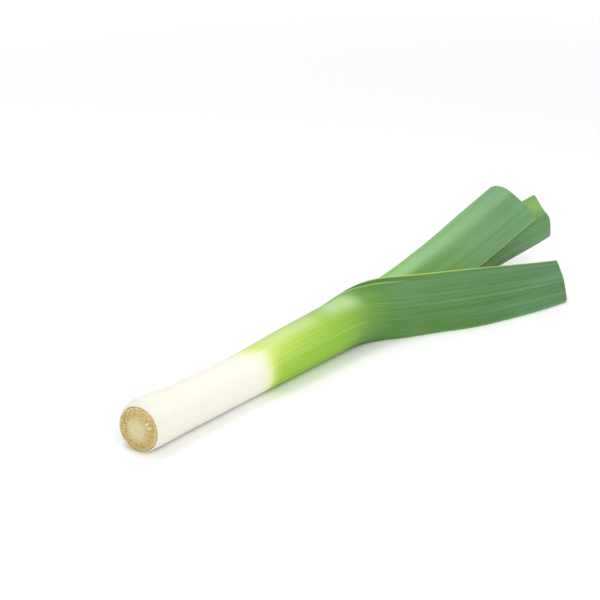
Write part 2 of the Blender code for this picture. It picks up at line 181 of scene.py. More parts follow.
def folded_half(keel, near, far, side, rounding, count=80):
    """One half of a rounded V from the keel to a margin. side is 1 for the near half, -1 for the far."""
    axis = (near + far) / 2.0 - keel
    spread = (near - far) / 2.0
    t = side * np.linspace(0.0, 1.0, count) ** OUTER_SPACING
    rho = (np.sqrt(t * t + rounding ** 2) - rounding) / (math.sqrt(1.0 + rounding ** 2) - rounding)
    return keel + np.outer(rho, axis) + np.outer(t, spread)


def outer_half(u, side, fractions):
    radius = shaft_radius(u)
    centre = np.array([0.0, radius - FLAT_DEPTH])
    closed = resample(arc_points(centre, radius, OUTER_KEEL_ANGLE, -side * math.pi), fractions)
    openness = ease(OUTER_SLIT, OUTER_SLIT + OUTER_OPENING, u)
    if openness == 0.0:
        return closed
    ky, kz, near_angle, near_length, far_angle, far_length, bulge = curve_through(OUTER_BLADE, u)
    keel = np.array([ky, kz])
    near_way = np.array([math.cos(math.radians(near_angle)), math.sin(math.radians(near_angle))])
    far_way = np.array([math.cos(math.radians(far_angle)), math.sin(math.radians(far_angle))])
    near = keel + near_way * near_length
    far = keel + far_way * far_length
    folded = folded_half(keel, near, far, side, OUTER_ROUNDING)
    folded = resample(folded, fractions)
    if side > 0:
        out = np.array([-near_way[1], near_way[0]])
        folded += np.outer(bulge * np.sin(math.pi * fractions) ** BULGE_CURVE, out)
    points = (1.0 - openness) * closed + openness * folded
    if side > 0:
        depth = CREASE_DEPTH * ease(*CREASE_GROWS, u) * (1.0 - ease(*CREASE_FADES, u))
        shoulder = np.clip(1.0 - (CREASE_PLACE - fractions) / SHOULDER_WIDTH, 0.0, 1.0) ** 2
        lip = np.clip((1.0 - fractions) / (1.0 - CREASE_PLACE), 0.0, 1.0)
        points -= np.outer(depth * np.minimum(shoulder, lip), out)
    return points


# The inner leaves, in the fan's own axes: up the fan, and towards the viewer's side

# side: 1 with the keel on top, -1 with the keel below. radius: of its closed tube. foot: where it starts.
# slit: where its tube opens. opening: length over which the tube turns into the blade. lowest: how low
# the leaf can reach, along it. wall: its wall's thickness, along it. fan: distance from the root end,
# places of the keel and of the near and far margins up the fan, half the thickness of the fold, how far
# the near and far margins spread out of it, and a lengthwise ridge in the near half. rounding: length
# of the rounded part at the keel. cut: where the knife ends the keel, the near margin and the far
# margin. cut_bend: 1 for a cut that runs straight from the keel to a margin, more where it turns beside
# the keel, less where it turns beside the margin.
INNER_LEAVES = {
    "second_leaf": {
        "side": 1, "radius": 18.3, "foot": 194.6, "slit": 238.0, "opening": 50.0,
        "lowest": [(190, 1.9), (238, 1.9), (252, 2.4), (270, 4.4), (291, 5.8), (342, 8.0), (480, 8.0)],
        "wall": [(195, 1.6), (250, 1.5), (300, 1.2), (480, 1.0)],
        "fan": [
            (190, 18.3, -18.3, -18.3, 18.3, 0.0, 0.0, 0.0),
            (238, 19.0, -17.5, -17.5, 17.6, 0.0, 0.0, 0.0),
            (262, 20.6, -16.0, -16.0, 15.4, 0.0, 0.0, 0.0),
            (291, 23.5, -13.5, -13.5, 12.6, 0.0, 1.0, 0.0),
            (342, 35.5, -8.0, -8.0, 8.7, 0.0, 6.0, 0.0),
            (397, 50.5, 0.8, 2.0, 7.6, 0.0, 14.0, 0.0),
            (441, 62.2, 11.0, 12.0, 7.0, 0.0, 20.0, 0.0),
            (482, 73.0, 20.5, 21.0, 7.0, 0.0, 25.0, 0.0),
        ],
        "rounding": 11.0, "cut": (442.0, 480.0, 470.0), "cut_bend": 1.2,
    },
    "third_leaf": {
        "side": -1, "radius": 15.9, "foot": 217.0, "slit": 262.0, "opening": 50.0,
        "lowest": [(210, 4.2), (245, 4.4), (262, 5.2), (291, 6.8), (342, 8.5), (480, 8.5)],
        "wall": [(214, 1.5), (270, 1.3), (320, 1.0), (500, 0.9)],
        "fan": [
            (210, -15.9, 15.9, 15.9, 15.9, 0.0, 0.0, 0.0),
            (240, -15.9, 15.9, 15.9, 14.9, 0.0, 0.0, 0.0),
            (262, -16.3, 16.2, 16.2, 13.2, 0.0, 0.0, 0.0),
            (291, -16.5, 16.8, 16.8, 10.5, 0.0, 0.0, 0.0),
            (342, -15.7, 24.0, 24.0, 6.9, 0.0, 0.0, 0.0),
            (397, -11.0, 33.0, 33.0, 5.8, 0.0, 0.8, 0.0),
            (441, -7.2, 37.5, 34.0, 5.0, -0.3, 3.0, 0.3),
            (482, -4.2, 40.0, 35.0, 4.2, -2.5, 8.0, 2.5),
            (504, -2.2, 41.0, 36.0, 4.2, -4.5, 14.0, 4.5),
        ],
        "rounding": 9.0, "cut": (499.3, 492.0, 488.0), "cut_bend": 0.42,
    },
    "fourth_leaf": {
        "side": 1, "radius": 13.8, "foot": 241.0, "slit": 286.0, "opening": 46.0,
        "lowest": [(240, 6.0), (480, 6.0)],
        "wall": [(238, 1.3), (290, 1.2), (330, 0.9), (480, 0.8)],
        "fan": [
            (235, 13.8, -13.8, -13.8, 13.2, 0.0, 0.0, 0.0),
            (262, 14.2, -13.5, -13.5, 11.2, 0.0, 0.0, 0.0),
            (286, 16.8, -12.0, -12.0, 9.0, 0.0, 0.0, 0.0),
            (342, 29.0, -8.0, -8.0, 5.3, 0.0, 0.0, 0.0),
            (397, 42.0, 2.0, 2.0, 4.3, 0.0, 0.2, 0.0),
            (441, 47.0, 8.0, 8.0, 3.2, 0.0, 0.5, 0.0),
            (480, 52.0, 14.0, 14.0, 2.4, 0.0, 1.0, 0.0),
        ],
        "rounding": 7.0, "cut": (448.0, 455.0, 462.0), "cut_bend": 2.0,
    },
    "heart_leaf": {
        "side": -1, "radius": 11.8, "foot": 265.0, "slit": 306.0, "opening": 40.0,
        "lowest": [(260, 7.0), (480, 7.0)],
        "wall": [(260, 1.2), (310, 1.0), (350, 0.8), (480, 0.7)],
        "fan": [
            (258, -12.0, 12.0, 12.0, 9.7, 0.0, 0.0, 0.0),
            (286, -12.0, 13.0, 13.0, 7.2, 0.0, 0.0, 0.0),
            (306, -11.0, 16.0, 16.0, 5.7, 0.0, 0.0, 0.0),
            (342, -9.5, 21.0, 21.0, 3.8, 0.0, 0.0, 0.0),
            (397, -4.5, 29.0, 29.0, 2.9, 0.0, 0.0, 0.0),
            (450, 1.0, 33.0, 33.0, 2.4, 0.0, 0.0, 0.0),
        ],
        "rounding": 5.0, "cut": (432.0, 428.0, 424.0), "cut_bend": 2.0,
    },
}

INNER_SPACING = 1.6       # as OUTER_SPACING
TUBE_POINTS = 70          # in half a closed tube
FOLD_POINTS = 120         # in half a fold
SPREAD_CURVE = 2.2        # the margins' spread grows with this power of the way from the keel
RIDGE_PLACE = 0.4
RIDGE_WIDTH = 0.2


def inner_half(leaf, u, side, fractions):
    """Half of an inner leaf's section, from its keel to a margin, as (y, z)."""
    up = leaf["side"]
    keel, near, far, half, near_spread, far_spread, ridge = curve_through(leaf["fan"], u)
    middle, shift = curve_through(FAN_MIDDLE, u)
    tall = math.sqrt(2.0 * leaf["radius"] ** 2 - half ** 2)
    angles = math.pi * np.linspace(0.0, 1.0, TUBE_POINTS)
    closed = np.stack([shift + up * tall * np.cos(angles), side * half * np.sin(angles) + middle], axis=1)
    closed = resample(closed, fractions)
    openness = ease(leaf["slit"], leaf["slit"] + leaf["opening"], u)
    if openness == 0.0:
        return fan_to_section(closed, u)
    margin = near if side > 0 else far
    spread = near_spread if side > 0 else far_spread
    reach = abs(margin - keel)
    run = reach * np.linspace(0.0, 1.0, FOLD_POINTS) ** INNER_SPACING
    round_part = np.minimum(run / leaf["rounding"], 1.0)
    out = half * np.sqrt(1.0 - (1.0 - round_part) ** 2) + spread * (run / reach) ** SPREAD_CURVE
    if side > 0:
        out += ridge * np.exp(-((run / reach - RIDGE_PLACE) / RIDGE_WIDTH) ** 2)
    opened = np.stack([keel - up * run, side * out + middle], axis=1)
    opened = resample(opened, fractions)
    return fan_to_section((1.0 - openness) * closed + openness * opened, u)


# Fine leaf surfaces

NOISE_SWINGS = 256        # after this many swings the noise repeats
CURVE_READINGS = 240      # places at which a curve is worked out, before it is read all over a grid
SECTION_STEP = 1.5        # spacing of the sections that a leaf's surface is read from
COLUMN_SPACING = 1.1      # above 1, the columns of a leaf's grid stand closer at its keel
EVEN_ROWS = 4.0           # past a leaf's foot, where the rows of its grid start to be evenly spaced
SEAM_OPENS = (5.0, 32.0)  # past the start of a slit, the length over which its two margins part
HALF_WIDTH = 60.0         # millimetres of leaf skin from its keel to a margin, where it is widest

# Waves of a cut end: depth, how many across the leaf, where their noise starts
CUT_WAVES = [(0.55, 3.0, 7.0), (0.35, 7.0, 47.0), (0.2, 17.0, 87.0)]

# Past its slit, a leaf's wall thins by this share between these places across
MARGIN_THINNING = 0.45
THINNING_PLACES = (0.90, 1.0)
THINNING_GROWS = 30.0     # length over which the thinning starts

# Relief of the skin: width of a line, where its noise starts, the noise's seed, height on the tube, and
# what the blade adds to that height
VEIN_LINES = (1.1, 60.0, 22, 0.03, 0.05)
FOLD_LINES = (6.0, 30.0, 24, 0.05, 0.16)
# The folds sway: length of a sway along the leaf, how far it goes against a fold's width, its seed
FOLD_SWAY = (90.0, 0.5, 23)
RELIEF_GROWS = (-60.0, 90.0)     # from before the slit to past it
RELIEF_FADES = (0.94, 1.0)       # towards the margins, places across
RELIEF_TOP = 0.12         # the outside stands no higher than this over the smooth surface
RELIEF_INSIDE = 0.5       # share of the relief that the inside has

# Material slots of a leaf
SKIN = 0
CUT = 1


def smooth_noise(values, seed):
    """Smooth values between -1 and 1, with about one swing for each unit."""
    draw = random.Random(seed)
    levels = np.array([draw.uniform(-1.0, 1.0) for _ in range(NOISE_SWINGS + 1)])
    place = np.mod(values, float(NOISE_SWINGS))
    low = np.floor(place).astype(int)
    f = place - low
    f = f * f * (3.0 - 2.0 * f)
    return levels[low] * (1.0 - f) + levels[low + 1] * f


def ease_all(low, high, values):
    """ease at many places."""
    f = np.clip((values - low) / (high - low), 0.0, 1.0)
    return f * f * (3.0 - 2.0 * f)


def curve_all(stations, values):
    """curve_through at many places, for a table of (u, value)."""
    places = np.linspace(values.min(), values.max(), CURVE_READINGS)
    read = np.array([float(curve_through(stations, u)[0]) for u in places])
    return np.interp(values, places, read)


def cut_places(leaf, t):
    """Where the knife ends the leaf, for places t across from -1 to 1, with small waves that only cut in."""
    keel, near, far = leaf["cut"]
    margin = np.where(t >= 0.0, near, far)
    place = keel + (margin - keel) * (1.0 - (1.0 - np.abs(t)) ** leaf["cut_bend"])
    for k, (depth, waves, start) in enumerate(CUT_WAVES):
        place -= depth * (1.0 + smooth_noise(t * waves / 2.0 + start, leaf["seed"] + k))
    return place


def cut_share(leaf, rows):
    """How far each row follows the slant of the cut: not at all up to the slit, fully at the end."""
    last = leaf["cut"][0]
    return (np.clip(rows - leaf["slit"], 0.0, None) / (last - leaf["slit"])) ** 2


def leaf_surface(leaf, half_section):
    """The smooth outside as a grid of (u, y, z), with its rows' u and its columns' place across (-1 to 1)."""
    fractions = np.linspace(0.0, 1.0, leaf["halves"]) ** COLUMN_SPACING
    t = np.concatenate([-fractions[::-1], fractions[1:]])
    first = leaf["foot"]
    last = leaf["cut"][0]
    stations = np.arange(first, max(leaf["cut"]) + SECTION_STEP, SECTION_STEP)
    table = []
    for u in stations:
        near = half_section(u, 1, fractions)
        far = half_section(u, -1, fractions)
        table.append(np.concatenate([far[::-1], near[1:]]))
    table = np.array(table)
    even_rows = np.arange(first + EVEN_ROWS, last, leaf["step"])
    rows = np.concatenate([first + np.array(leaf["first_rows"]), even_rows, [last]])
    place = rows[:, None] + (cut_places(leaf, t)[None, :] - last) * cut_share(leaf, rows)[:, None]
    grid = np.zeros((len(rows), len(t), 3))
    for j in range(len(t)):
        grid[:, j, 0] = place[:, j]
        grid[:, j, 1] = np.interp(place[:, j], stations, table[:, j, 0])
        grid[:, j, 2] = np.interp(place[:, j], stations, table[:, j, 1])
    if leaf["slanted_foot"]:
        height = grid[..., 2] - shaft_centre_height(0.0)
        move = ROOT_CUT + ROOT_SLANT_Y * grid[..., 1] + ROOT_SLANT_Z * height
        grid[..., 0] += move * (1.0 - ease_all(*SLANT_FADE, grid[..., 0]))
    grid[..., 2] = np.maximum(grid[..., 2], curve_all(leaf["lowest"], grid[..., 0]))
    return rows, t, grid


def surface_normals(leaf, rows, grid):
    """Outward directions. Where the tube is closed, its first and last columns share one."""
    along = np.gradient(grid, axis=0)
    across = np.gradient(grid, axis=1)
    seam = (grid[:, 1] - grid[:, -2]) / 2.0
    apart = ease_all(leaf["slit"] + SEAM_OPENS[0], leaf["slit"] + SEAM_OPENS[1], rows)[:, None]
    across[:, 0] = (1.0 - apart) * seam + apart * across[:, 0]
    across[:, -1] = (1.0 - apart) * seam + apart * across[:, -1]
    normals = np.cross(across, along)
    return leaf["turn"] * normals / np.linalg.norm(normals, axis=2, keepdims=True)


def leaf_walls(leaf, rows, grid, t):
    """Thickness of the wall, which thins towards the margins of the blade."""
    places = ease_all(*THINNING_PLACES, np.abs(t))[None, :]
    grown = ease_all(leaf["slit"], leaf["slit"] + THINNING_GROWS, rows)[:, None]
    return curve_all(leaf["wall"], grid[..., 0]) * (1.0 - MARGIN_THINNING * places * grown)


def leaf_relief(leaf, grid, t):
    """Height of veins and of long soft folds over the smooth surface, in millimetres."""
    u = grid[..., 0]
    wide = (t * HALF_WIDTH)[None, :]
    blade = ease_all(leaf["slit"] + RELIEF_GROWS[0], leaf["slit"] + RELIEF_GROWS[1], u)
    fade = 1.0 - ease_all(*RELIEF_FADES, np.abs(t))[None, :]
    vein_width, vein_start, vein_seed, vein_height, vein_growth = VEIN_LINES
    fold_width, fold_start, fold_seed, fold_height, fold_growth = FOLD_LINES
    sway_length, sway_reach, sway_seed = FOLD_SWAY
    veins = smooth_noise(wide / vein_width + vein_start, leaf["seed"] + vein_seed)
    sway = sway_reach * smooth_noise(u / sway_length, leaf["seed"] + sway_seed)
    folds = smooth_noise(wide / fold_width + sway + fold_start, leaf["seed"] + fold_seed)
    fold_heights = fold_height + fold_growth * blade * leaf["folds"]
    return fade * (veins * (vein_height + vein_growth * blade) + folds * fold_heights)


# Meshes

SHARP_ANGLE = math.radians(50.0)


class Shell:
    """Points, faces and marks of a mesh as it is built. A mark is a number that the material reads."""

    def __init__(self, mark_names):
        self.mark_names = mark_names
        self.points = []
        self.marks = []
        self.faces = []
        self.slots = []

    def point(self, place, *marks):
        self.points.append(place)
        self.marks.append(marks)
        return len(self.points) - 1

    def face(self, corners, slot=SKIN):
        self.faces.append(tuple(int(k) for k in corners))
        self.slots.append(slot)

    def sheet(self, numbers, first_row, turned):
        """Faces over a grid of points from one of its rows on, turned over where they face inwards."""
        for i in range(first_row, len(numbers) - 1):
            for j in range(numbers.shape[1] - 1):
                quad = (numbers[i, j], numbers[i, j + 1], numbers[i + 1, j + 1], numbers[i + 1, j])
                self.face(quad[::-1] if turned else quad)

    def band(self, first, second):
        """Faces between two rings of points."""
        for k in range(len(first)):
            after = (k + 1) % len(first)
            self.face((first[k], first[after], second[after], second[k]))

    def lid(self, middle, ring):
        """Faces from a middle point to a ring of points."""
        for k in range(len(ring)):
            self.face((middle, ring[k], ring[(k + 1) % len(ring)]))

    def body(self, rings):
        """A closed body through its rings, with a flat face on each end."""
        for first, second in zip(rings, rings[1:]):
            self.band(first, second)
        self.face(rings[0])
        self.face(rings[-1])


def mesh_object(name, shell):
    """An object of a shell in plant millimetres, kept inside the solids' box, with marks as attributes."""
    places = (np.array(shell.points) - np.array([ORIGIN_U, ORIGIN_Y, 0.0])) * MM
    places = np.clip(places, np.array(cad_box[0]), np.array(cad_box[1]))
    data = bpy.data.meshes.new(name)
    data.from_pydata(places.tolist(), [], shell.faces)
    data.polygons.foreach_set("material_index", shell.slots)
    marks = np.array(shell.marks, dtype=np.float32)
    for k, mark in enumerate(shell.mark_names):
        attribute = data.attributes.new(mark, "FLOAT", "POINT")
        attribute.data.foreach_set("value", np.ascontiguousarray(marks[:, k]))
    mesh = bmesh.new()
    mesh.from_mesh(data)
    bmesh.ops.recalc_face_normals(mesh, faces=mesh.faces)
    mesh.to_mesh(data)
    mesh.free()
    data.shade_smooth()
    data.set_sharp_from_angle(angle=SHARP_ANGLE)
    data.update()
    thing = bpy.data.objects.new(name, data)
    bpy.context.scene.collection.objects.link(thing)
    return thing


# The outer leaf's edge round the root plate, and the pit behind it: distance from the cut, radius
RIM_RINGS = [
    (-0.15, ROOT_RADIUS + 0.9),
    (0.0, ROOT_RADIUS + 0.6),
    (PIT_RIM, ROOT_RADIUS + PIT_CLEARANCE),
    (PIT_DEPTH, ROOT_RADIUS + PIT_CLEARANCE),
]


def around_root(radius, angle):
    """(y, z) at a radius and an angle round the middle of the root end."""
    return radius * math.cos(angle), shaft_centre_height(0.0) + radius * math.sin(angle)


def root_rim(shell, t, ring):
    """Leads the outer leaf's foot over its rounded edge and into its pit. Gives the pit's last ring."""
    for u, radius in RIM_RINGS:
        line = []
        for place in t[:-1]:
            y, z = around_root(radius, OUTER_KEEL_ANGLE - place * math.pi)
            line.append(shell.point(np.array([u + root_slant(0.0, y, z), y, z]), u, place, 0.0))
        shell.band(ring, line)
        ring = line
    return ring


def leaf_points(shell, grid, t, first_row, slit_row, inside):
    """Adds a leaf's points and gives their numbers. Up to its slit, the last column is the first one."""
    numbers = np.full(grid.shape[:2], -1, dtype=int)
    for i in range(first_row, len(grid)):
        for j in range(len(t)):
            if j == len(t) - 1 and i <= slit_row:
                numbers[i, j] = numbers[i, 0]
            else:
                numbers[i, j] = shell.point(grid[i, j], grid[i, j, 0], t[j], inside)
    return numbers


def leaf_piece(name, leaf, half_section):
    """A fine closed leaf: outside, inside, the rim of its cut end, the edges of its slit, and its foot."""
    rows, t, outer = leaf_surface(leaf, half_section)
    normals = surface_normals(leaf, rows, outer)
    walls = leaf_walls(leaf, rows, outer, t)
    relief = leaf_relief(leaf, outer, t)
    inner = outer - normals * (walls - RELIEF_INSIDE * relief)[..., None]
    outer = outer + normals * np.minimum(relief, RELIEF_TOP)[..., None]
    outer[..., 2] = np.maximum(outer[..., 2], 0.0)

    shell = Shell(("along", "across", "inside"))
    slit_row = int(np.searchsorted(rows, leaf["slit"], side="right")) - 1
    floor_row = int(np.searchsorted(rows, leaf["floor"]))
    outside = leaf_points(shell, outer, t, 0, slit_row, 0.0)
    inside = leaf_points(shell, inner, t, floor_row, slit_row, 1.0)
    shell.sheet(outside, 0, False)
    shell.sheet(inside, floor_row, True)
    for j in range(len(t) - 1):
        shell.face((outside[-1, j], outside[-1, j + 1], inside[-1, j + 1], inside[-1, j]), CUT)
    for i in range(slit_row, len(rows) - 1):
        shell.face((outside[i, 0], outside[i + 1, 0], inside[i + 1, 0], inside[i, 0]))
        shell.face((outside[i, -1], inside[i, -1], inside[i + 1, -1], outside[i + 1, -1]))
    pocket = shell.point(inner[floor_row, :-1].mean(axis=0), leaf["floor"], 0.0, 1.0)
    shell.lid(pocket, inside[floor_row, :-1])
    foot_ring = list(outside[0, :-1])
    if leaf["slanted_foot"]:
        foot_ring = root_rim(shell, t, foot_ring)
    foot = shell.point(np.mean([shell.points[k] for k in foot_ring], axis=0), 0.0, 0.0, 0.0)
    shell.lid(foot, foot_ring)
    return mesh_object(name, shell)


# Root plate

PLATE_SEED = 5
PLATE_SIDES = 96
PLATE_SHOULDER = 0.6      # how far behind the cut the plate's straight side ends
ROOT_DOME = 1.6           # how far the plate bulges out of the cut
DOME_RINGS = 15
DOME_INSET = 0.3          # how far inside the edge the dome's first ring lies
DOME_ROUGHNESS = 0.18
ROUGH_LEVEL = 3           # the dome is rough from this ring inwards

# Root ends all over the plate
FINE_STUBS = 620
STUB_INSET = 0.5          # how far inside the plate's edge the outermost ones stand
GOLDEN_TURN = math.radians(137.508)
RADIUS_SCATTER = 0.4
ANGLE_SCATTER = 0.06
STUB_LENGTH = 0.4
LENGTH_SHARES = (0.4, 1.3)
STUB_THICKNESS = (0.22, 0.46)
TONE_SCATTER = 0.45
# In a ring of this radius and width they are longer and browner by this much
RING_RADIUS = 12.0
RING_WIDTH = 4.0
RING_LENGTH = 1.3
RING_TONE = 0.55

# Root ends along the plate's edge
RIM_STUBS = 120
RIM_SCATTER = 0.3
RIM_INSET = (0.1, 0.9)
RIM_LENGTHS = (0.3, 1.3)
RIM_THICKNESS = (0.3, 0.5)
RIM_TONES = (0.0, 0.5)

# White root ends laid outwards: direction in degrees, foot's radius, reach, rise, half thickness
WHITE_STUBS = [
    (143, 8.2, 5.0, 0.6, 0.75), (159, 8.6, 5.4, 0.5, 0.85), (176, 13.2, 2.6, 0.6, 0.50),
    (12, 13.8, 2.6, 0.8, 0.60), (238, 13.6, 1.6, 0.8, 0.45),
]
WHITE_TONE = -1.0

STUB_SIDES = 6
STUB_FOOT = 0.6           # how deep a stub is rooted in the plate
STUB_LEAN = 0.5           # how far its tip leans at most, each way
STUB_SIZES = (1.15, 1.0, 0.85)   # shares of its thickness at the foot, in the middle and at the tip
TIP_ROUGHNESS = 0.12


def dome(radius):
    """Distance of the dome's surface from the cut, which is negative outside it."""
    return -ROOT_DOME * (1.0 - (radius / ROOT_RADIUS) ** 2)


def fine_stub(shell, draw, radius, angle, length, thick, tone, spread=0.0):
    """A clipped root end on the plate. It leans at random, and outwards by spread."""
    y, z = around_root(radius, angle)
    base = dome(radius) + root_slant(0.0, y, z)
    lean_y = draw.uniform(-STUB_LEAN, STUB_LEAN) + spread * math.cos(angle)
    lean_z = draw.uniform(-STUB_LEAN, STUB_LEAN) + spread * math.sin(angle)
    rings = []
    for size, share in zip(STUB_SIZES, (0.0, 0.5, 1.0)):
        reach = -share * length if share else STUB_FOOT
        tip = float(share == 1.0)
        ring = []
        for c in range(STUB_SIDES):
            turn = 2.0 * math.pi * c / STUB_SIDES
            place = np.array([
                base + reach + (draw.uniform(-TIP_ROUGHNESS, TIP_ROUGHNESS) if tip else 0.0),
                y + lean_y * share + thick * size * math.cos(turn),
                z + lean_z * share + thick * size * math.sin(turn),
            ])
            ring.append(shell.point(place, radius, tone, tip))
        rings.append(ring)
    shell.body(rings)


def root_plate_piece():
    """The domed disc, its rough surface, and several hundred clipped root ends."""
    shell = Shell(("radius", "tone", "tip"))
    levels = [(ROOT_RADIUS, PIT_DEPTH - PIT_CLEARANCE), (ROOT_RADIUS, PLATE_SHOULDER)]
    for k in range(DOME_RINGS):
        radius = (ROOT_RADIUS - DOME_INSET) * (1.0 - k / DOME_RINGS)
        levels.append((radius, dome(radius)))
    draw = random.Random(PLATE_SEED)
    rings = []
    for level, (radius, u) in enumerate(levels):
        ring = []
        for k in range(PLATE_SIDES):
            y, z = around_root(radius, 2.0 * math.pi * k / PLATE_SIDES)
            rough = draw.uniform(-DOME_ROUGHNESS, DOME_ROUGHNESS) if level >= ROUGH_LEVEL else 0.0
            place = np.array([u + rough + root_slant(0.0, y, z), y, z])
            ring.append(shell.point(place, radius, 0.0, 0.0))
        rings.append(ring)
    shell.body(rings)

    for k in range(FINE_STUBS):
        radius = (ROOT_RADIUS - STUB_INSET) * math.sqrt((k + 0.5) / FINE_STUBS)
        radius += draw.uniform(-RADIUS_SCATTER, RADIUS_SCATTER)
        angle = k * GOLDEN_TURN + draw.uniform(-ANGLE_SCATTER, ANGLE_SCATTER)
        ringed = math.exp(-((radius - RING_RADIUS) / RING_WIDTH) ** 2)
        length = (STUB_LENGTH + RING_LENGTH * ringed) * draw.uniform(*LENGTH_SHARES)
        thick = draw.uniform(*STUB_THICKNESS)
        tone = min(max(RING_TONE * ringed + draw.uniform(-TONE_SCATTER, TONE_SCATTER), 0.0), 1.0)
        fine_stub(shell, draw, radius, angle, length, thick, tone)
    for k in range(RIM_STUBS):
        angle = 2.0 * math.pi * (k + draw.uniform(-RIM_SCATTER, RIM_SCATTER)) / RIM_STUBS
        radius = ROOT_RADIUS - draw.uniform(*RIM_INSET)
        length = draw.uniform(*RIM_LENGTHS)
        thick = draw.uniform(*RIM_THICKNESS)
        fine_stub(shell, draw, radius, angle, length, thick, draw.uniform(*RIM_TONES))
    for direction, radius, reach, rise, thick in WHITE_STUBS:
        fine_stub(shell, draw, radius, math.radians(direction), rise, thick, WHITE_TONE, reach)
    return mesh_object("root_disc", shell)


# Materials


class Nodes:
    """A short way to build a material's nodes."""

    def __init__(self, name, roughness):
        self.material = bpy.data.materials.new(name)
        self.material.use_nodes = True
        self.tree = self.material.node_tree
        self.shader = self.tree.nodes["Principled BSDF"]
        self.shader.inputs["Roughness"].default_value = roughness

    def node(self, kind, **values):
        made = self.tree.nodes.new(kind)
        for key, value in values.items():
            setattr(made, key, value)
        return made

    def put(self, socket, value):
        if isinstance(value, bpy.types.NodeSocket):
            self.tree.links.new(value, socket)
        elif isinstance(value, tuple) and len(value) == 3 and socket.type == "RGBA":
            socket.default_value = (*value, 1.0)
        else:
            socket.default_value = value

    def put_all(self, sockets, values):
        for socket, value in zip(sockets, values):
            self.put(socket, value)

    def mark(self, name):
        return self.node("ShaderNodeAttribute", attribute_name=name).outputs["Fac"]

    def math(self, operation, first, second=0.0, clamp=False):
        made = self.node("ShaderNodeMath", operation=operation, use_clamp=clamp)
        self.put_all(made.inputs, (first, second))
        return made.outputs[0]

    def span(self, value, low, high, start=0.0, end=1.0):
        """start where value is at low, end where it is at high, smooth between. low can be the higher."""
        made = self.node("ShaderNodeMapRange", interpolation_type="SMOOTHSTEP")
        names = ("Value", "From Min", "From Max", "To Min", "To Max")
        self.put_all([made.inputs[name] for name in names], (value, low, high, start, end))
        return made.outputs["Result"]

    def patch(self, fields, edges):
        """The product of spans, each given as the name of its field and its numbers."""
        spans = [self.span(fields[name], *numbers) for name, *numbers in edges]
        amount = spans[0]
        for edge in spans[1:]:
            amount = self.math("MULTIPLY", amount, edge)
        return amount

    def tint(self, colour, amount, strength, shade):
        """A shade laid over a colour."""
        return self.mix(self.math("MULTIPLY", amount, strength), colour, srgb(*shade))

    def point(self, x, y, z):
        made = self.node("ShaderNodeCombineXYZ")
        self.put_all(made.inputs, (x, y, z))
        return made.outputs[0]

    def noise(self, vector, scale, detail, roughness):
        made = self.node("ShaderNodeTexNoise")
        names = ("Vector", "Scale", "Detail", "Roughness")
        self.put_all([made.inputs[name] for name in names], (vector, scale, detail, roughness))
        return made.outputs["Fac"]

    def mix(self, amount, first, second):
        made = self.node("ShaderNodeMix", data_type="RGBA")
        self.put(made.inputs[0], amount)
        self.put(made.inputs[6], first)
        self.put(made.inputs[7], second)
        return made.outputs[2]

    def ramp(self, value, stops):
        """The colour at value between stops of a place and a shade."""
        made = self.node("ShaderNodeValToRGB")
        band = made.color_ramp
        while len(band.elements) < len(stops):
            band.elements.new(0.5)
        for element, (place, shade) in zip(band.elements, stops):
            element.position = place
            element.color = (*srgb(*shade), 1.0)
        self.put(made.inputs[0], value)
        return made.outputs["Color"]

    def bump(self, height, distance, strength):
        made = self.node("ShaderNodeBump")
        self.put(made.inputs["Height"], height)
        made.inputs["Distance"].default_value = distance
        made.inputs["Strength"].default_value = strength
        return made.outputs["Normal"]


def srgb(red, green, blue):
    """A colour of 0 to 255 as the screen shows it, as linear values."""
    values = []
    for value in (red, green, blue):
        value /= 255.0
        values.append(value / 12.92 if value <= 0.04045 else ((value + 0.055) / 1.055) ** 2.4)
    return tuple(values)


# Leaf skin. Lengths are along the plant from the root end, in millimetres. Places across go from 0 at
# the keel to 1 at the near margin and -1 at the far one.

RAMP_LENGTH = 500.0       # the colours' ramps reach this far
# Distance from the root end, and the colour there
OUTER_COLOURS = [
    (0, (233, 231, 218)), (102, (235, 234, 222)), (112, (233, 235, 202)), (120, (218, 229, 152)),
    (129, (199, 219, 106)), (140, (183, 210, 84)), (172, (163, 199, 68)), (208, (142, 185, 62)),
    (232, (125, 170, 62)), (252, (100, 147, 58)), (276, (84, 129, 56)), (310, (82, 126, 56)),
    (370, (78, 121, 64)), (450, (79, 121, 72)),
]
# The second leaf's colours from 284 to 370 mm are lightened: painted light where the outer leaf shades it
SECOND_COLOURS = [
    (200, (222, 232, 160)), (250, (172, 210, 122)), (284, (140, 188, 98)), (320, (128, 181, 92)),
    (370, (119, 169, 101)), (430, (108, 155, 104)), (490, (104, 150, 94)),
]
INNER_COLOURS = [
    (200, (228, 235, 160)), (262, (180, 210, 100)), (310, (128, 176, 72)), (360, (98, 146, 70)),
    (410, (86, 126, 68)), (455, (88, 130, 80)), (480, (94, 136, 86)), (505, (98, 140, 88)),
]

# Noise drawn out into lines along the leaf: width and length of a line, detail, roughness
LINE_FIELDS = {
    "patches": (26.0, 90.0, 3.0, 0.5),
    "streaks": (4.2, 260.0, 2.0, 0.5),
    "veins": (0.95, 260.0, 1.0, 0.5),
    "hairs": (0.5, 60.0, 2.0, 0.7),
}
FIELD_SPACING = 3.0       # between the seeds of one field and the next
FIELD_MIDDLE = 0.5

# How far each field moves the colours along the leaf
FIELD_SHIFTS = [("patches", 26.0), ("streaks", 12.0), ("veins", 9.0)]
# On the outer leaf the white reaches farthest at BOW_PLACE across. The green starts earlier on the low
# side of the shaft and towards the margins: edges, as of a tint below, and shift
BOW_PLACE = 0.25
BOW_SHIFT = -10.0
OUTER_SHIFTS = [
    ([("across", 0.72, 0.10), ("along", 122.0, 140.0)], 26.0),
    ([("from_keel", 0.74, 0.98)], 10.0),
]

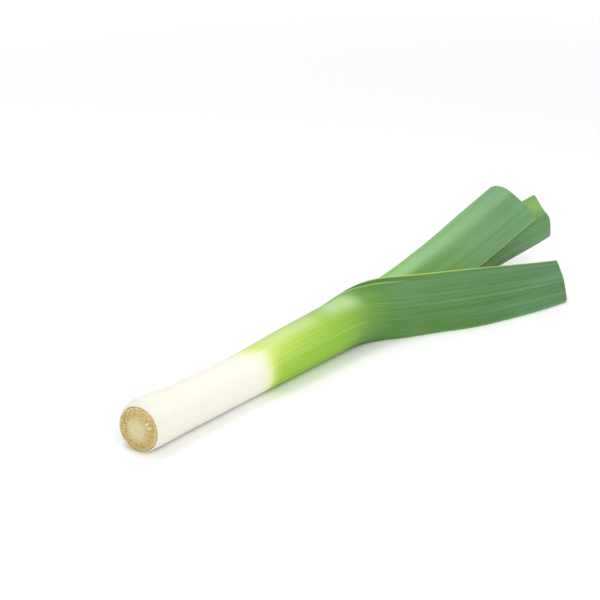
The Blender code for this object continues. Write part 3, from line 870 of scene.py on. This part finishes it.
# A tint has edges, a strength and a shade. An edge names a field, a value where there is none of the tint
# and one where it is full. Two more numbers are other shares of it at those values. The fields are along,
# across, from_keel (across without its sign), ripeness (along with all its shifts), and the noises.
# Edges of the lime-green stretch and of the blade
LIME = [("ripeness", 112.5, 135.0), ("ripeness", 280.0, 210.0)]
BLADE = [("along", 225.0, 300.0)]
LINE_TINTS = [
    ([("veins", 0.50, 0.72), *LIME], 0.24, (230, 242, 176)),
    ([("veins", 0.48, 0.28), *LIME], 0.22, (126, 180, 44)),
    ([("veins", 0.50, 0.66), *BLADE], 0.13, (156, 194, 146)),
    ([("veins", 0.50, 0.34), *BLADE], 0.17, (66, 112, 58)),
    ([("streaks", 0.50, 0.70), *BLADE], 0.19, (124, 168, 134)),
    ([("streaks", 0.46, 0.28), *BLADE], 0.22, (78, 126, 54)),
    ([("hairs", 0.55, 0.80), ("along", 110.0, 240.0, 0.05, 0.22)], 1.0, (214, 232, 196)),
]
BLOOM_TINTS = [([("patches", 0.48, 0.68), *BLADE], 0.12, (134, 172, 150))]
# The outer leaf's own: the darker, greener low side of the shaft, partly painted shade; painted light on its
# upper side; a painted highlight on the shoulder before the throat; and a painted highlight along the
# crease's edge
OUTER_TINTS_AND_PAINTED_LIGHT = [
    # Darker, greener low side of the shaft: partly the leek's own colour, partly painted shade
    ([("across", 0.58, 0.20), ("along", 126.0, 142.0), ("along", 240.0, 204.0)], 0.64, (132, 184, 38)),
    # Painted light on the upper side of the shaft, running on towards the shoulder's highlight
    (
        [("across", 0.52, 0.68), ("across", 0.96, 0.80), ("along", 126.0, 146.0), ("along", 208.0, 186.0)],
        0.26, (230, 240, 200),
    ),
    # Painted highlight on the shoulder before the throat
    (
        [("across", 0.50, 0.70), ("across", 0.93, 0.82), ("along", 196.0, 222.0), ("along", 252.0, 234.0)],
        0.55, (200, 226, 170),
    ),
    # Painted highlight along the edge of the crease
    (
        [
            ("across", CREASE_PLACE - 0.022, CREASE_PLACE - 0.006),
            ("across", CREASE_PLACE + 0.016, CREASE_PLACE + 0.004),
            ("along", 228.0, 242.0), ("along", 300.0, 270.0),
        ],
        0.60, (190, 220, 140),
    ),
]
# Pale margins past the slit, and the pale keel
EDGE_TINTS = [
    (
        [("from_keel", 0.978, 0.992), ("along", 222.0, 236.0), ("along", 240.0, 480.0, 0.85, 0.45)],
        1.0, (190, 216, 112),
    ),
    ([("from_keel", 0.022, 0.006), ("along", 240.0, 300.0)], 0.55, (160, 192, 92)),
]
INSIDE_STRENGTH = 0.35
INSIDE_SHADE = (178, 208, 120)

# Bands along each leaf, some of them painted light: middle and half width across, where the band starts and
# is full along the leaf, the share left at the tip, strength, shade
BAND_FADES = (270.0, 450.0)
BANDS_AND_PAINTED_LIGHT = {
    # A paler, bluer band high on the outer leaf's blade
    "outer_leaf": [(0.80, 0.34, 250.0, 340.0, 0.7, 0.35, (98, 142, 108))],
    "second_leaf": [
        # Painted highlight along the rounded keel of the second leaf
        (0.24, 0.19, 225.0, 300.0, 0.4, 0.80, (162, 200, 146)),
        # Painted light on the second leaf's margin side, where the outer leaf shades it
        (0.90, 0.65, 240.0, 300.0, 0.0, 0.75, (150, 204, 120)),
    ],
    # Painted light on the third leaf's tip, on the half of its fold that faces up to the lamps
    "third_leaf": [(0.80, 0.30, 446.0, 472.0, 0.6, 1.00, (150, 194, 92))],
    "fourth_leaf": [(0.30, 0.30, 225.0, 300.0, 0.6, 0.30, (150, 190, 130))],
    "heart_leaf": [(0.30, 0.30, 225.0, 300.0, 0.6, 0.30, (150, 196, 120))],
}

SKIN_ROUGHNESS = 0.5
SKIN_SPECULAR = 0.28
SKIN_SCATTER = 0.10
SCATTER_RADIUS = (0.004, 0.004, 0.002)
VEIN_BUMP = 0.8
HAIR_BUMP = 0.25
BUMP_GROWS = (60.0, 260.0, 0.25, 1.0)    # its share at one place along the leaf and at the next
BUMP_DEPTH = 0.0003
BUMP_STRENGTH = 0.8


def leaf_fields(made, seed):
    """The marks and noises that a leaf's tints are placed by."""
    fields = {name: made.mark(name) for name in ("along", "across", "inside")}
    fields["from_keel"] = made.math("ABSOLUTE", fields["across"])
    wide = made.math("MULTIPLY", fields["across"], HALF_WIDTH)
    for k, (name, (width, length, detail, roughness)) in enumerate(LINE_FIELDS.items()):
        x = made.math("DIVIDE", wide, width)
        y = made.math("DIVIDE", fields["along"], length)
        fields[name] = made.noise(made.point(x, y, seed + FIELD_SPACING * k), 1.0, detail, roughness)
    return fields


def ripeness(made, fields, is_outer):
    """Distance from the root end, shifted so that the colours don't change along one straight line."""
    place = fields["along"]
    for name, shift in FIELD_SHIFTS:
        swing = made.math("SUBTRACT", fields[name], FIELD_MIDDLE)
        place = made.math("ADD", place, made.math("MULTIPLY", swing, shift))
    if is_outer:
        turn = made.math("MULTIPLY", made.math("SUBTRACT", fields["across"], BOW_PLACE), math.pi)
        place = made.math("ADD", place, made.math("MULTIPLY", made.math("COSINE", turn), BOW_SHIFT))
        for edges, shift in OUTER_SHIFTS:
            place = made.math("ADD", place, made.math("MULTIPLY", made.patch(fields, edges), shift))
    return place


def band_tint(middle, width, first, full, left, strength, shade):
    edges = [
        ("across", middle - width, middle), ("across", middle + width, middle),
        ("along", first, full), ("along", *BAND_FADES, 1.0, left),
    ]
    return edges, strength, shade


def leaf_material(leaf_name, colours, seed, is_outer):
    """Leaf skin: white to green along the plant, with parallel veins, bloom, pale margins and keel, and
    painted light and shade.
    """
    made = Nodes(leaf_name + "_skin", SKIN_ROUGHNESS)
    fields = leaf_fields(made, seed)
    fields["ripeness"] = ripeness(made, fields, is_outer)
    place = made.math("DIVIDE", fields["ripeness"], RAMP_LENGTH, clamp=True)
    colour = made.ramp(place, [(u / RAMP_LENGTH, shade) for u, shade in colours])
    tints = LINE_TINTS + [band_tint(*band) for band in BANDS_AND_PAINTED_LIGHT[leaf_name]] + BLOOM_TINTS
    if is_outer:
        tints += OUTER_TINTS_AND_PAINTED_LIGHT
    tints += EDGE_TINTS
    for edges, strength, shade in tints:
        colour = made.tint(colour, made.patch(fields, edges), strength, shade)
    colour = made.tint(colour, fields["inside"], INSIDE_STRENGTH, INSIDE_SHADE)

    made.put(made.shader.inputs["Base Color"], colour)
    made.shader.inputs["Specular IOR Level"].default_value = SKIN_SPECULAR
    made.shader.inputs["Subsurface Weight"].default_value = SKIN_SCATTER
    made.shader.inputs["Subsurface Radius"].default_value = SCATTER_RADIUS
    made.shader.inputs["Subsurface Scale"].default_value = 1.0
    veins = made.math("MULTIPLY", fields["veins"], VEIN_BUMP)
    hairs = made.math("MULTIPLY", fields["hairs"], HAIR_BUMP)
    grown = made.span(fields["along"], *BUMP_GROWS)
    height = made.math("MULTIPLY", made.math("ADD", veins, hairs), grown)
    made.put(made.shader.inputs["Normal"], made.bump(height, BUMP_DEPTH, BUMP_STRENGTH))
    return made.material


CUT_ROUGHNESS = 0.6
CUT_DETAIL = 2.0
CUT_SHADES = [(196, 216, 160), (150, 184, 116)]


def cut_material():
    """The fresh cut across a leaf: pale, with its fibres a little darker."""
    made = Nodes("leaf_cut", CUT_ROUGHNESS)
    wide = made.math("MULTIPLY", made.mark("across"), HALF_WIDTH)
    fibres = made.noise(made.point(wide, 0.0, 0.0), 1.0, CUT_DETAIL, 0.5)
    pale, dark = CUT_SHADES
    made.put(made.shader.inputs["Base Color"], made.mix(fibres, srgb(*pale), srgb(*dark)))
    return made.material


ROOT_ROUGHNESS = 0.85
MOTTLE = (260.0, 4.0, 0.5)       # scale, detail and roughness of the noise
MOTTLE_SHARES = (0.3, 0.6, 0.55, 1.1)
MIDDLE_PALE = (4.0, 13.0)        # the plate turns from pale to brown between these radii
RADIUS_SHARE = 0.42
TONE_SHARE = 0.55
ROOT_COLOURS = [
    (0.0, (232, 225, 184)), (0.35, (228, 211, 150)), (0.65, (220, 195, 122)), (1.0, (196, 160, 86)),
]
TIP_STRENGTH = 0.5
TIP_SHADE = (245, 236, 196)
WHITE_TONES = (-0.2, -0.8)       # from a tone that isn't white to one that is
WHITE_SHADE = (242, 238, 220)
ROOT_BUMP_DEPTH = 0.0004
ROOT_BUMP_STRENGTH = 0.8


def root_material():
    """Root fibre: cream in the middle to light brown round it, with paler tips and a few white roots."""
    made = Nodes("root_fibre", ROOT_ROUGHNESS)
    tone = made.mark("tone")
    mottle = made.noise(made.node("ShaderNodeTexCoord").outputs["Object"], *MOTTLE)
    by_radius = made.math("MULTIPLY", made.span(made.mark("radius"), *MIDDLE_PALE), RADIUS_SHARE)
    amount = made.math("ADD", by_radius, made.math("MULTIPLY", tone, TONE_SHARE), clamp=True)
    amount = made.math("MULTIPLY", amount, made.span(mottle, *MOTTLE_SHARES))
    colour = made.ramp(amount, ROOT_COLOURS)
    colour = made.tint(colour, made.mark("tip"), TIP_STRENGTH, TIP_SHADE)
    colour = made.tint(colour, made.span(tone, *WHITE_TONES), 1.0, WHITE_SHADE)
    made.put(made.shader.inputs["Base Color"], colour)
    made.put(made.shader.inputs["Normal"], made.bump(mottle, ROOT_BUMP_DEPTH, ROOT_BUMP_STRENGTH))
    return made.material


# The leek

# What a leaf's fine surface needs besides its shape. floor: how far down its pocket reaches. turn: which
# way its normals face. first_rows: rows of its grid at the foot. halves: columns from the keel to a
# margin. step: spacing of its rows. folds: how strong its folds are.
OUTER_LEAF = {
    "foot": 0.0, "slit": OUTER_SLIT, "floor": OUTER_SLIT - OUTER_POCKET,
    "cut": (438.5, 442.8, 433.0), "cut_bend": 1.0, "wall": [(190, 1.5), (240, 1.3), (440, 1.0)],
    "lowest": [(0, 0.0), (440, 0.0)], "turn": -1.0, "slanted_foot": True,
    "first_rows": [0.0, 0.35, 0.8, 1.4, 2.2, 3.1], "halves": 90, "step": 2.4, "seed": 100, "folds": 1.0,
}
INNER_LEAF = {"slanted_foot": False, "first_rows": [0.0, 2.0], "halves": 66, "step": 2.6, "folds": 0.8}
# Seeds of the inner leaves' surfaces and skins: the second leaf's, and the step from leaf to leaf
INNER_SEEDS = (200, 50)
INNER_SKIN_SEEDS = (11.0, 7.0)
OUTER_SKIN_SEED = 2.0


def dress():
    """The six pieces, each in place of its solid."""
    cut = cut_material()
    piece = leaf_piece("outer_leaf_skin", OUTER_LEAF, outer_half)
    piece.data.materials.append(leaf_material("outer_leaf", OUTER_COLOURS, OUTER_SKIN_SEED, True))
    piece.data.materials.append(cut)
    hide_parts("outer_leaf")
    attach(piece, "root")
    for k, (name, spec) in enumerate(INNER_LEAVES.items()):
        leaf = {**spec, **INNER_LEAF}
        leaf["floor"] = spec["slit"] - INNER_POCKET
        leaf["turn"] = float(spec["side"])
        leaf["seed"] = INNER_SEEDS[0] + INNER_SEEDS[1] * k
        piece = leaf_piece(name + "_skin", leaf, partial(inner_half, spec))
        colours = SECOND_COLOURS if name == "second_leaf" else INNER_COLOURS
        skin_seed = INNER_SKIN_SEEDS[0] + INNER_SKIN_SEEDS[1] * k
        piece.data.materials.append(leaf_material(name, colours, skin_seed, False))
        piece.data.materials.append(cut)
        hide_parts(name)
        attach(piece, "root")
    disc = root_plate_piece()
    disc.data.materials.append(root_material())
    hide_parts("root_plate")
    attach(disc, "root")


# Floor, light and camera

WHITE = (1.0, 1.0, 1.0, 1.0)
FLOOR_SIZE = 8.0
FLOOR_COLOUR = (0.95, 0.95, 0.95, 1.0)
FLOOR_ROUGHNESS = 0.9
# The lamps light the near floor only: far from the leek the white sheet glows a little instead
FLOOR_GLOW = (0.5, 2.2, 0.0, 0.30)       # distances, and how strongly it glows at each

WORLD_STRENGTH = 0.76
# Place, target, size and power of each lamp
LIGHTS = {
    "key": ((-0.05, 0.45, 1.45), (0.0, 0.0, 0.0), 0.7, 5.5),
    "fill": ((-0.35, -0.95, 1.15), (0.0, 0.0, 0.03), 1.0, 7.0),
}

CAMERA_PLACE = (-0.8547, -0.6308, 0.4965)
CAMERA_HEADING = math.radians(40.08)
CAMERA_DOWN = math.radians(23.0)
SENSOR = 36.0
LENS = 84.66


def floor():
    bpy.ops.mesh.primitive_plane_add(size=FLOOR_SIZE, location=(0.0, 0.0, 0.0))
    plane = bpy.context.object
    plane.name = "floor"
    made = Nodes("floor", FLOOR_ROUGHNESS)
    made.shader.inputs["Base Color"].default_value = FLOOR_COLOUR
    away = made.node("ShaderNodeVectorMath", operation="LENGTH")
    made.put(away.inputs[0], made.node("ShaderNodeTexCoord").outputs["Object"])
    made.shader.inputs["Emission Color"].default_value = WHITE
    made.put(made.shader.inputs["Emission Strength"], made.span(away.outputs["Value"], *FLOOR_GLOW))
    plane.data.materials.append(made.material)


def area_light(name, place, target, size, power):
    light = bpy.data.lights.new(name, "AREA")
    light.shape = "DISK"
    light.size = size
    light.energy = power
    thing = bpy.data.objects.new(name, light)
    thing.location = place
    thing.rotation_euler = (Vector(target) - Vector(place)).to_track_quat("-Z", "Y").to_euler()
    bpy.context.scene.collection.objects.link(thing)


def studio():
    world = bpy.data.worlds.new("studio")
    world.use_nodes = True
    world.node_tree.nodes["Background"].inputs["Color"].default_value = WHITE
    world.node_tree.nodes["Background"].inputs["Strength"].default_value = WORLD_STRENGTH
    bpy.context.scene.world = world
    bpy.context.scene.view_settings.view_transform = "Standard"
    for name, light in LIGHTS.items():
        area_light(name, *light)


def camera():
    made = bpy.data.cameras.new("camera")
    made.sensor_width = SENSOR
    made.lens = LENS
    thing = bpy.data.objects.new("camera", made)
    thing.location = CAMERA_PLACE
    level = math.cos(CAMERA_DOWN)
    aim = Vector((level * math.cos(CAMERA_HEADING), level * math.sin(CAMERA_HEADING), -math.sin(CAMERA_DOWN)))
    thing.rotation_euler = aim.to_track_quat("-Z", "Y").to_euler()
    bpy.context.scene.collection.objects.link(thing)
    bpy.context.scene.camera = thing


camera()
dress()
floor()
studio()

bpy.context.view_layer.update()
